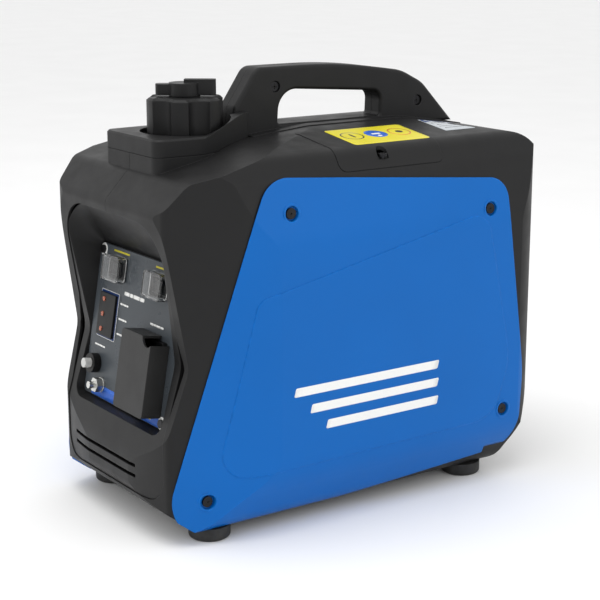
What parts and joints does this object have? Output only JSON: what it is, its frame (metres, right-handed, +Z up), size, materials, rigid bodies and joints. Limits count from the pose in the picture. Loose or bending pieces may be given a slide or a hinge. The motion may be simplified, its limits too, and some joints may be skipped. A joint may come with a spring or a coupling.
{
  "type": "portable generator",
  "caption": "Suitcase-style portable inverter generator with a carrying handle, sloping front control panel, screw fuel cap, side covers, pull starter and rear exhaust grille.",
  "frame": {"origin": "on the floor under the centre of the overall box", "axes": "+Z up, front with the control panel faces -Y, the pull starter is on the -X side"},
  "size_m": [0.24, 0.3899, 0.373],
  "materials": {
    "case_black": "fine-textured black moulded plastic",
    "cover_blue": "satin blue moulded plastic",
    "trim_black": "smooth black plastic",
    "panel_grey": "dark grey printed face",
    "grey_plastic": "grey moulded plastic",
    "clear_boot": "clear flexible boot",
    "lamp": "tinted lamp lens",
    "rubber": "black rubber",
    "screw_steel": "zinc-plated steel",
    "cast_aluminium": "sand-cast aluminium",
    "engine_steel": "machined steel",
    "muffler_steel": "heat-stained steel",
    "copper": "enamelled windings",
    "ceramic": "glazed ceramic and steel",
    "rope": "braided starter rope"
  },
  "bodies": {
    "body": {"ac_outlet": "trim_black", "air_cleaner": "trim_black", "base_pan": "case_black", "breaker_body": "grey_plastic", "carburettor": "cast_aluminium", "case_screws": "screw_steel", "connecting_rod": "engine_steel", "control_panel": "panel_grey", "crankcase": "cast_aluminium", "crankcase_cover": "cast_aluminium", "cylinder": "cast_aluminium", "cylinder_head": "cast_aluminium", "engine_mounts": "rubber", "fan_shroud": "trim_black", "front_fascia": "case_black", "fuel_deck": "case_black", "fuel_hose": "rubber", "fuel_tank": "trim_black", "ground_stud": "screw_steel", "handle_left": "case_black", "handle_right": "case_black", "indicator_block": "trim_black", "indicator_lamps": "lamp", "inverter_module": "cast_aluminium", "muffler": "muffler_steel", "panel_screws": "screw_steel", "piston": "cast_aluminium", "plug_cap": "trim_black", "plug_hatch": "case_black", "rear_grille": "case_black", "recoil_housing": "trim_black", "recoil_rope": "rope", "recoil_spring": "engine_steel", "rubber_feet": "rubber", "shell_left": "case_black", "shell_right": "case_black", "side_cover_left": "cover_blue", "side_cover_right": "cover_blue", "side_cover_screws": "screw_steel", "spark_arrestor": "muffler_steel", "spark_plug": "ceramic", "stator": "copper", "switch_boots": "clear_boot", "switch_housings": "trim_black"},
    "cap_seal": {"fuel_cap_gasket": "rubber"},
    "fuel_cap": {"fuel_cap": "trim_black"},
    "vent_lever": {"vent_lever": "trim_black"},
    "engine_switch": {"rocker_engine": "trim_black"},
    "economy_switch": {"rocker_economy": "trim_black"},
    "outlet_cover": {"ac_outlet_cover": "grey_plastic"},
    "breaker_button": {"breaker_button": "clear_boot"},
    "ground_nut": {"ground_nut": "screw_steel"},
    "oil_cap": {"oil_filler_cap": "trim_black"},
    "starter_grip": {"recoil_grip": "trim_black"},
    "starter_pulley": {"recoil_pulley": "trim_black"},
    "crank": {"crankshaft": "engine_steel", "flywheel_rotor": "engine_steel", "cooling_fan": "cast_aluminium"},
    "choke": {"choke_knob": "trim_black"},
    "fuel_valve": {"fuel_valve_knob": "trim_black"}
  },
  "joints": [
    {"name": "cap_lift", "type": "slide", "parent": "body", "child": "cap_seal", "axis": [0, 0, 1], "range_m": [0, 0.035]},
    {"name": "cap_turn", "type": "hinge", "parent": "cap_seal", "child": "fuel_cap", "pos_m": [0, -0.113, 0.333], "axis": [0, 0, 1], "range_deg": [0, 110]},
    {"name": "vent_turn", "type": "hinge", "parent": "fuel_cap", "child": "vent_lever", "pos_m": [0, -0.113, 0.353], "axis": [0, 0, 1], "range_deg": [0, 90]},
    {"name": "engine_switch_tilt", "type": "hinge", "parent": "body", "child": "engine_switch", "pos_m": [-0.037, -0.15904, 0.20529], "axis": [0, -0.1702, -0.9854], "range_deg": [-8, 8]},
    {"name": "economy_switch_tilt", "type": "hinge", "parent": "body", "child": "economy_switch", "pos_m": [0.034, -0.1593, 0.20381], "axis": [0, -0.1702, -0.9854], "range_deg": [-8, 8]},
    {"name": "outlet_cover_swing", "type": "hinge", "parent": "body", "child": "outlet_cover", "pos_m": [0.0108, -0.17372, 0.13324], "axis": [0, -0.1702, -0.9854], "range_deg": [0, 95], "stiffness_Nm_per_rad": 0.02},
    {"name": "breaker_press", "type": "slide", "parent": "body", "child": "breaker_button", "axis": [0, 0.9854, -0.1702], "range_m": [0, 0.003], "stiffness_N_per_m": 500},
    {"name": "ground_nut_turn", "type": "hinge", "parent": "body", "child": "ground_nut", "pos_m": [-0.042, -0.18052, 0.10448], "axis": [0, -0.9854, 0.1702], "continuous": true},
    {"name": "oil_cap_turn", "type": "hinge", "parent": "body", "child": "oil_cap", "pos_m": [0.05, 0.05, 0.0585], "axis": [1, 0, 0], "continuous": true},
    {"name": "starter_pull", "type": "slide", "parent": "body", "child": "starter_grip", "axis": [-1, 0, 0], "range_m": [0, 0.6], "stiffness_N_per_m": 25, "springref_m": -0.4},
    {"name": "pulley_turn", "type": "hinge", "parent": "body", "child": "starter_pulley", "pos_m": [-0.092, 0.022, 0.098], "axis": [1, 0, 0], "range_deg": [-960, 0]},
    {"name": "crank_turn", "type": "hinge", "parent": "body", "child": "crank", "pos_m": [0, 0.022, 0.098], "axis": [1, 0, 0], "continuous": true},
    {"name": "choke_turn", "type": "hinge", "parent": "body", "child": "choke", "pos_m": [-0.11, -0.065, 0.108], "axis": [1, 0, 0], "range_deg": [0, 70]},
    {"name": "fuel_valve_turn", "type": "hinge", "parent": "body", "child": "fuel_valve", "pos_m": [-0.11, -0.115, 0.173], "axis": [1, 0, 0], "range_deg": [0, 90]}
  ],
  "couplings": [
    {"joint": "pulley_turn", "follows": "starter_pull", "rad_per_m": -27.778}
  ]
}
